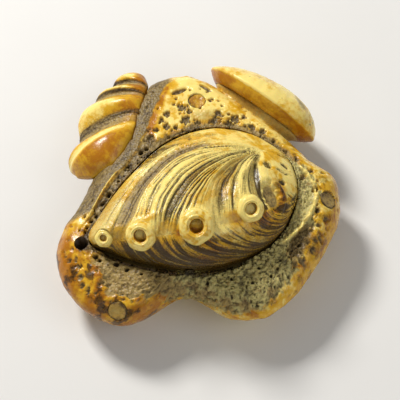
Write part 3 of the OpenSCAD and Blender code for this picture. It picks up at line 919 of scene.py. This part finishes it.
def make_collar(number, place, radius, bore, lean, material):
    """One siphon collar: a flared, slightly faceted neck with a rounded lip and a blind hole."""
    around = 120
    b = angles(around)
    long = COLLAR_LONG * radius
    lip = 0.34 * radius
    floor = -COLLAR_BORE * radius
    round_lip = [(radius - lip + lip * math.sin(t), -lip + lip * math.cos(t))
                 for t in np.linspace(math.pi / 2, 0, 12)]
    profile = [(0.3 * radius, -long), (0.9 * radius, -long), (1.0 * radius, -long + 0.06)]
    profile += [(radius * (1 + 0.02 * s), mix(-long, -lip, s)) for s in np.linspace(0.1, 0.97, 14)]
    profile += round_lip
    inner_lip = 0.14 * radius
    flat_end = bore + inner_lip
    profile += [(mix(radius - lip, flat_end, s), 0.05 * radius * math.sin(math.pi * s))
                for s in np.linspace(0.2, 1.0, 5)]
    profile += [(bore + inner_lip - inner_lip * math.sin(t), -inner_lip + inner_lip * math.cos(t))
                for t in np.linspace(0.2, math.pi / 2, 7)]
    profile += [(bore * (1 - 0.06 * s), mix(-inner_lip, floor, s)) for s in np.linspace(0.12, 1, 9)]
    profile += [(0.75 * bore, floor - 0.04), (0.3 * bore, floor - 0.08)]
    r = np.array([q[0] for q in profile])[:, None]
    z = np.array([q[1] for q in profile])[:, None]
    outer = smooth(0.35 * radius, radius, r)
    facet = radius * (0.022 * np.cos(6 * b + number) + 0.014 * np.cos(3 * b + 2 * number))
    swell = facet * outer - 0.02 * radius
    mouth = 0.05 * np.cos(2 * b + number) * bore * (1 - outer)
    rings = moved(turned(r + swell + mouth, z, b), placed(place, (COLLAR_LEAN, lean, 0)))
    rings = raised(rings, 0.1 * radius * (fbm(rings * 0.9, 3, 200 + number) - 0.5))
    depth = np.clip(-z / (COLLAR_BORE * radius), 0, 1) + 0 * b
    inside = (r < bore + 0.5 * inner_lip) * (z < -0.3 * inner_lip) + 0 * b
    rough = fbm(rings * 2.2, 3, 210 + number)
    low_side = smooth(-0.2, -0.9, np.sin(b))[None, :] * smooth(0.3 * radius, radius, -z)
    middle = 1 - smooth(0.1 * bore, 0.55 * bore, r) + 0 * b
    floor_part = inside * smooth(0.75, 0.95, depth)
    stain = inside * (0.3 + 0.35 * depth) * (1 - 0.5 * floor_part) + 0.35 * inside * (rough - 0.3)
    stain += 0.45 * middle * floor_part
    amber = 0.15 + 0.7 * low_side + 0.8 * (rough - 0.47) + 0.9 * inside * (1 - floor_part)
    grey = 0.7 * floor_part
    collar = loft(f"collar_{number}", rings, traits_of(stain=stain, amber=amber, grey=grey))
    finish_piece(collar, f"siphon_collar_{number}", material)


# ---------------------------------------------------------------- the clam and the whelk

def make_clam(material):
    around, steps = 320, 60
    b = angles(around)
    rings = []

    def add(share, bulge, fullness, skew):
        u, w = share * np.cos(b), share * np.sin(b)
        lift = bulge * (1 - skew * u) * max(0.0, 1 - share * share) ** fullness
        rings.append(xyz(CLAM_A * u, CLAM_B * w, lift))

    cut = math.sqrt(1 - (CLAM_SEAT / CLAM_IN) ** 2)
    for share in (0.35, 0.7, 0.98):
        u, w = share * cut * np.cos(b), share * cut * np.sin(b)
        rings.append(xyz(CLAM_A * u, CLAM_B * w, -CLAM_SEAT))
    start = math.asin(cut)
    for t in np.linspace(start, math.pi / 2, 34)[1:]:
        add(math.sin(t), -CLAM_IN, 0.5, 0.0)
    for t in np.linspace(0, math.pi / 2, steps)[1:-1]:
        add(math.cos(t), CLAM_OUT, 0.65, CLAM_SKEW)
    flat = np.array(rings)
    x, y, z = flat[..., 0], flat[..., 1], flat[..., 2]
    hinge = np.array([-6.0, 4.6])
    lines = np.hypot(x - hinge[0], y - hinge[1])
    growth = 0.5 + 0.5 * np.sin(lines * 4.4 + 2.5 * noise(xyz(x, y) * 0.5, 301))
    outer = smooth(0.0, 0.5, z)
    height = -0.035 * growth * outer + 0.22 * (fbm(flat * 0.3, 3, 303) - 0.5)
    rim = bell(z, 0.22)
    height += 0.06 * rim
    # the flank under the rim is the undercut side: its deeper amber and darker stain are partly
    # real stain, partly painted shade
    shaded_flank = smooth(-0.15, -0.6, z)
    height -= 0.12 * shaded_flank * smooth(-CLAM_SEAT, -0.9, z)
    spot = smooth(1.15, 0.4, oval(x, y, (-6.0, 2.7), 3.8, 2.4, -12)
                      + 0.5 * (fbm(flat * 0.9, 3, 305) - 0.5))
    height -= 0.1 * spot
    on_flat = z < -CLAM_SEAT + 0.02
    shape = raised(moved(flat, CLAM_FRAME), np.where(on_flat, 0, height))
    mottled = fbm(flat * 0.55, 4, 307)
    fine = fbm(flat * 2.5, 2, 309)
    # amber near the rim's lower-left carries the flank's colour, partly painted shade, onto the
    # outer face
    near_rim = bell(z, 0.7) * smooth(4.0, -2.0, y)
    amber = 0.2 + 0.6 * shaded_flank + 0.5 * (mottled - 0.47) + 0.4 * near_rim
    stain = 0.2 * shaded_flank * smooth(-0.9, -1.5, z) + 0.1 * spot
    stain += 0.5 * smooth(0.62, 0.75, fine) * outer * smooth(0.5, 0.65, mottled)
    grey = 0.6 * spot + 0.1 * outer + 0.25 * on_flat
    clam = loft("clam", shape, traits_of(stain=stain, amber=amber, grey=grey))
    finish_piece(clam, "clam_shell", material)


def make_whelk(material):
    around, rows = 260, 260
    b = angles(around)
    table = open_curve(WHELK_RINGS, rows)
    across, along, half, slant, out = (table[:, c][:, None] for c in range(5))
    half, out = most(half, 0.05), most(out, 0.05)
    s = np.radians(slant)
    reach = half * np.cos(b)
    x = across + reach * np.cos(s)
    y = along + reach * np.sin(s)
    z = WHELK_LIFT + out * np.sin(b)
    flat = xyz(x, y, most(z, 0.0))
    back = np.sin(b) + 0 * out
    hollow = shade = 0
    for middle, half_width in WHELK_GROOVES:
        off = (along - middle) / half_width
        hollow = most(hollow, 1 - smooth(0.55, 1.1, np.abs(off)))
        shade = most(shade, bell(off - 0.6, 0.5))
    hollow = hollow * smooth(-0.25, 0.15, back)
    shade = shade * smooth(-0.25, 0.15, back)
    grain = noise(xyz(along * 5.5 + 0.4 * reach, reach * 0.5, 0 * reach), 401)
    height = -0.05 * hollow * smooth(0.5, 0.25, grain) + 0.22 * (fbm(flat * 0.35, 3, 403) - 0.5)
    beside = along + 6.4 - 0.62 * reach
    body = smooth(-2.4, -3.6, along) * smooth(-0.1, 0.4, back)
    height += 0.3 * body * bell(beside, 1.3)
    shape = raised(moved(flat, WHELK_FRAME), np.where(z < 0.05, 0, height))
    rough = fbm(flat * 0.7, 4, 405)
    top_side = smooth(0.3, 0.9, reach / half)
    spire = smooth(3.0, 8.0, along)
    # the rib crests and the body's ridge are painted paler as highlights, and the slopes beside the
    # ridge deeper amber as painted shade
    crest_highlight = most(*[bell(along - at, wide) + 0 * back for at, wide in WHELK_RIB_HIGHLIGHTS])
    crest_highlight = most(crest_highlight, body * bell(beside, 0.9))
    amber = 0.5 + 0.5 * top_side * smooth(-4, 2, along) + 0.25 * (rough - 0.5)
    amber += 0.5 * smooth(0.2, -0.3, back) + 0.3 * hollow + 0.25 * spire
    amber -= 0.55 * crest_highlight * (1 - 0.6 * top_side)
    amber += 0.4 * body * smooth(0.6, 2.0, np.abs(beside))
    stain = 0.5 * shade + 0.2 * hollow * smooth(0.6, 0.3, grain)
    stain += 0.3 * spire * smooth(0.45, 0.65, rough)
    grey = 0.95 * hollow * (1 - 0.5 * top_side)
    # the underside is painted darker, here and with the deeper amber given to it above: painted
    # shade
    underside_shade = smooth(0.1, -0.6, back)
    stain = most(stain, 0.35 * underside_shade)
    whelk = loft("whelk", shape, traits_of(stain=stain, amber=amber, grey=grey))
    finish_piece(whelk, "whelk_shell", material)


def make_disc(node, place, direction, number, material):
    """An inlaid disc with a worn, slightly dished face and a painted shadow at one side of it."""
    around = 96
    b = angles(around)
    profile = [(0.4, -DISC_T), (0.95, -DISC_T), (1, -0.75 * DISC_T), (1, -0.2), (0.985, -0.08),
               (0.94, -0.02), (0.85, 0.0), (0.7, -0.03), (0.5, -0.06), (0.3, -0.08), (0.12, -0.08)]
    r = DISC_R * np.array([q[0] for q in profile])[:, None]
    z = np.array([q[1] for q in profile])[:, None] - DISC_SINK
    rings = turned(r, z, b)
    face = smooth(-0.25, -0.1, z + DISC_SINK) * smooth(DISC_R, 0.8 * DISC_R, r)
    rings[..., 2] -= face * 0.2 * (fbm(rings * 1.8, 3, 500 + number) - 0.35).clip(0)
    rings = moved(rings, aimed(place, direction))
    rough = fbm(rings * 1.6, 4, 510 + number)
    rim = smooth(0.8, 0.98, r / DISC_R) + 0 * b
    # a dark crescent on one side of the sunk face: painted shadow of the recess's edge
    shadow_crescent = smooth(0.35, 0.95, r / DISC_R * np.cos(b - math.radians(50)))
    traits = traits_of(stain=0.12 + 0.55 * most(rim, shadow_crescent) + 0.7 * (rough - 0.5),
                       amber=0.75 + 0.9 * (rough - 0.5),
                       grey=np.full(np.shape(rough), DISC_GREY[number]))
    disc = loft(node.replace("inlay_", ""), rings, traits)
    finish_piece(disc, node, material)


# ---------------------------------------------------------------- materials

CREAM = (0.90, 0.72, 0.22)
GOLD = (0.70, 0.40, 0.022)
AMBER = (0.42, 0.16, 0.007)
OLIVE_DARK, OLIVE_LIGHT = (0.20, 0.165, 0.055), (0.55, 0.47, 0.175)
TAUPE_DARK, TAUPE_LIGHT = (0.14, 0.09, 0.03), (0.38, 0.27, 0.09)
# dark brown for real stain, also used for painted shade
STAIN_AND_SHADE_COLOUR = (0.026, 0.012, 0.003)


class Nodes:
    """Short names for building a material's node tree."""

    def __init__(self, name):
        self.material = bpy.data.materials.new(name)
        self.material.use_nodes = True
        self.tree = self.material.node_tree
        self.tree.nodes.clear()
        self.shader = self.tree.nodes.new("ShaderNodeBsdfPrincipled")
        output = self.tree.nodes.new("ShaderNodeOutputMaterial")
        self.tree.links.new(self.shader.outputs[0], output.inputs[0])

    def add(self, kind, **settings):
        node = self.tree.nodes.new("ShaderNode" + kind)
        for key, value in settings.items():
            setattr(node, key, value)
        return node

    def join(self, source, target):
        if isinstance(source, (int, float, tuple)):
            target.default_value = source
        else:
            self.tree.links.new(source, target)

    def give(self, node, values):
        """Links or sets the node's inputs by name or number."""
        for key, value in values.items():
            self.join(value, node.inputs[key])

    def trait(self, name):
        return self.add("Attribute", attribute_name=name).outputs["Fac"]

    def place(self):
        return self.add("TexCoord").outputs["Object"]

    def texture(self, scale, detail=3.0, rough=0.55, where=None, warp=0.0):
        node = self.add("TexNoise")
        self.give(node, {"Scale": scale, "Detail": detail, "Roughness": rough,
                         "Distortion": warp, "Vector": self.place() if where is None else where})
        return node.outputs["Fac"]

    def cells(self, scale):
        node = self.add("TexVoronoi")
        self.give(node, {"Scale": scale, "Vector": self.place()})
        return node.outputs["Distance"]

    def math(self, operation, a, b):
        node = self.add("Math", operation=operation)
        self.give(node, {0: a, 1: b})
        return node.outputs[0]

    def sum(self, a, b):
        return self.math("ADD", a, b)

    def times(self, a, b):
        return self.math("MULTIPLY", a, b)

    def range(self, value, low, high, start=0.0, end=1.0):
        node = self.add("MapRange", interpolation_type="SMOOTHSTEP")
        self.give(node, {"Value": value, "From Min": low, "From Max": high,
                         "To Min": start, "To Max": end})
        return node.outputs[0]

    def blend(self, a, b, share):
        node = self.add("Mix", data_type="RGBA")
        a, b = (v + (1.0,) if isinstance(v, tuple) else v for v in (a, b))
        self.give(node, {0: share, 6: a, 7: b})
        return node.outputs[2]

    def bump(self, value, depth, before=None):
        node = self.add("Bump")
        self.give(node, {"Strength": 1.0, "Distance": depth * MM, "Height": value})
        if before is not None:
            self.join(before, node.inputs["Normal"])
        return node.outputs["Normal"]


def antler(name, growth_lines=False):
    """Polished antler: cream to amber, with an olive to brown core, stain in its hollows and
    painted shade where the pieces call for it.
    """
    n = Nodes(name)
    per_mm = 1 / MM
    mottle = n.texture(0.22 * per_mm, 5, 0.6, warp=0.6)
    fleck = n.texture(1.6 * per_mm, 4, 0.62)
    grain = n.texture(4.5 * per_mm, 3, 0.6)
    amber = n.sum(n.trait("amber"), n.range(mottle, 0.35, 0.7, -0.22, 0.25))
    amber = n.sum(amber, n.range(fleck, 0.35, 0.7, -0.1, 0.12))
    body = n.blend(CREAM, GOLD, n.range(amber, 0.08, 0.52))
    body = n.blend(body, AMBER, n.range(amber, 0.5, 1.05))
    brownish = n.range(n.trait("amber"), 0.0, 0.3)
    core_dark = n.blend(OLIVE_DARK, TAUPE_DARK, brownish)
    core_light = n.blend(OLIVE_LIGHT, TAUPE_LIGHT, brownish)
    core = n.blend(core_dark, core_light, n.range(fleck, 0.3, 0.55))
    core = n.blend(core, body, n.range(grain, 0.5, 0.75, 0.0, 0.25))
    body = n.blend(body, core, n.range(n.trait("grey"), 0.12, 0.85))
    stain = n.trait("stain")
    stain = n.sum(stain, n.range(grain, 0.3, 0.7, -0.14, 0.14))
    normal = None
    if growth_lines:
        along = n.add("CombineXYZ")
        n.give(along, {0: n.times(n.trait("growth"), 120.0), 1: n.times(n.trait("turn"), 2.5)})
        lines = n.texture(1.0, 2, 0.6, where=along.outputs[0])
        calm = n.range(n.trait("grey"), 0.2, 0.6, 1.0, 0.0)
        stain = n.sum(stain, n.times(n.range(lines, 0.42, 0.3, 0.0, 0.32), calm))
        finer = n.add("VectorMath", operation="SCALE")
        n.give(finer, {0: along.outputs[0], "Scale": 2.3})
        hairs = n.texture(1.0, 1, 0.5, where=finer.outputs[0])
        stain = n.sum(stain, n.times(n.range(hairs, 0.6, 0.35, -0.12, 0.22), calm))
        normal = n.bump(lines, 0.05)
    # the dark colour paints real stain and painted shade alike, both from the same trait
    body = n.blend(body, STAIN_AND_SHADE_COLOUR, n.range(stain, 0.08, 0.85, 0.0, 0.94))
    worn = n.range(fleck, 0.3, 0.7, -0.05, 0.07)
    rough = n.sum(n.range(n.trait("grey"), 0.1, 0.8, 0.22, 0.44), worn)
    rough = n.sum(rough, n.range(stain, 0.2, 0.9, 0.0, 0.05))
    normal = n.bump(grain, 0.025, normal)
    pores = n.cells(2.4 * per_mm)
    normal = n.bump(n.times(pores, n.trait("grey")), 0.12, normal)
    n.give(n.shader, {"Base Color": body, "Roughness": rough, "Normal": normal,
                      "Subsurface Weight": 0.12, "Subsurface Radius": (1.0, 0.55, 0.2),
                      "Subsurface Scale": 0.8 * MM, "Specular IOR Level": 0.35})
    return n.material


def horn(name, dark, pale):
    """Dark polished horn with long streaks, for the bushes and dowels."""
    n = Nodes(name)
    stretch = n.add("Mapping")
    n.give(stretch, {"Scale": (1.0, 1.0, 0.22), "Vector": n.place()})
    streak = n.texture(1.5 / MM, 5, 0.65, where=stretch.outputs[0], warp=1.2)
    grain = n.texture(5.0 / MM, 3, 0.6)
    body = n.blend(dark, pale, n.range(streak, 0.4, 0.68))
    n.give(n.shader, {"Base Color": body, "Roughness": n.range(grain, 0.3, 0.7, 0.25, 0.4),
                      "Normal": n.bump(grain, 0.02)})
    return n.material


def backdrop_paper():
    n = Nodes("pale_floor")
    tint = n.texture(40.0, 3, 0.5)
    tint = n.blend((0.74, 0.74, 0.73), (0.78, 0.78, 0.775), tint)
    n.give(n.shader, {"Base Color": tint, "Roughness": 0.9})
    return n.material


# ---------------------------------------------------------------- floor, lights, camera

def make_floor():
    side = 1500
    floor = make_mesh("floor", [(-side, -side, 0), (side, -side, 0), (side, side, 0),
                                (-side, side, 0)], [[0, 1, 2, 3]])
    floor.location.z = -0.02 * MM
    floor.data.materials.append(backdrop_paper())


def make_light(name, place, size, power, colour=(1, 1, 1)):
    """A square soft box at a place in millimetres, facing the button."""
    lamp = bpy.data.lights.new(name, "AREA")
    lamp.size = size * MM
    lamp.energy = power
    lamp.color = colour
    box = bpy.data.objects.new(name, lamp)
    box.location = Vector(place) * MM
    box.rotation_euler = (Vector((0, 0, 8)) - Vector(place)).to_track_quat("-Z", "Y").to_euler()
    bpy.context.scene.collection.objects.link(box)


def make_camera():
    """The camera looks down at 60 degrees over the button's front edge."""
    distance, elevation, frame_width, sensor = 180, math.radians(60), 62, 36
    aim = Vector((0, 0, 6))
    lens = bpy.data.cameras.new("camera")
    lens.sensor_width = sensor
    lens.lens = sensor * distance / frame_width
    lens.clip_start, lens.clip_end = 0.01, 10
    camera = bpy.data.objects.new("camera", lens)
    place = aim + distance * Vector((0, -math.cos(elevation), math.sin(elevation)))
    camera.location = place * MM
    camera.rotation_euler = (aim - place).to_track_quat("-Z", "Y").to_euler()
    bpy.context.scene.collection.objects.link(camera)
    bpy.context.scene.camera = camera


def make_world():
    world = bpy.data.worlds.new("studio")
    world.use_nodes = True
    world.node_tree.nodes["Background"].inputs["Color"].default_value = (1.0, 0.98, 0.95, 1)
    world.node_tree.nodes["Background"].inputs["Strength"].default_value = 0.22
    bpy.context.scene.world = world
    bpy.context.scene.view_settings.view_transform = "Standard"


make_camera()
make_world()
make_floor()
make_light("key", (-200, 240, 300), 100, 2.0, (1.0, 0.97, 0.92))
make_light("fill", (260, -120, 260), 260, 0.3, (1.0, 0.99, 0.97))
make_light("front", (-120, -300, 160), 220, 0.14, (1.0, 0.97, 0.93))

polished = antler("polished_antler")
striated = antler("striated_antler", growth_lines=True)
dark_horn = horn("dark_horn", (0.014, 0.009, 0.006), (0.06, 0.036, 0.018))
dowel_antler = horn("dowel_antler", (0.28, 0.17, 0.06), (0.5, 0.36, 0.16))

make_rock(polished)
make_abalone(striated)
for number, (place, radius, bore, lean) in enumerate(COLLARS, 1):
    make_collar(number, place, radius, bore, lean, polished)
make_clam(polished)
make_whelk(polished)
for number, (node, (place, direction)) in enumerate(DISCS.items()):
    make_disc(node, place, direction, number, polished)
for node in ("thread_bush_left", "thread_bush_right"):
    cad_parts[node].data.materials.clear()
    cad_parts[node].data.materials.append(dark_horn)
for node in ("abalone_dowels", "clam_dowel", "whelk_dowel"):
    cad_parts[node].data.materials.clear()
    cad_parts[node].data.materials.append(dowel_antler)
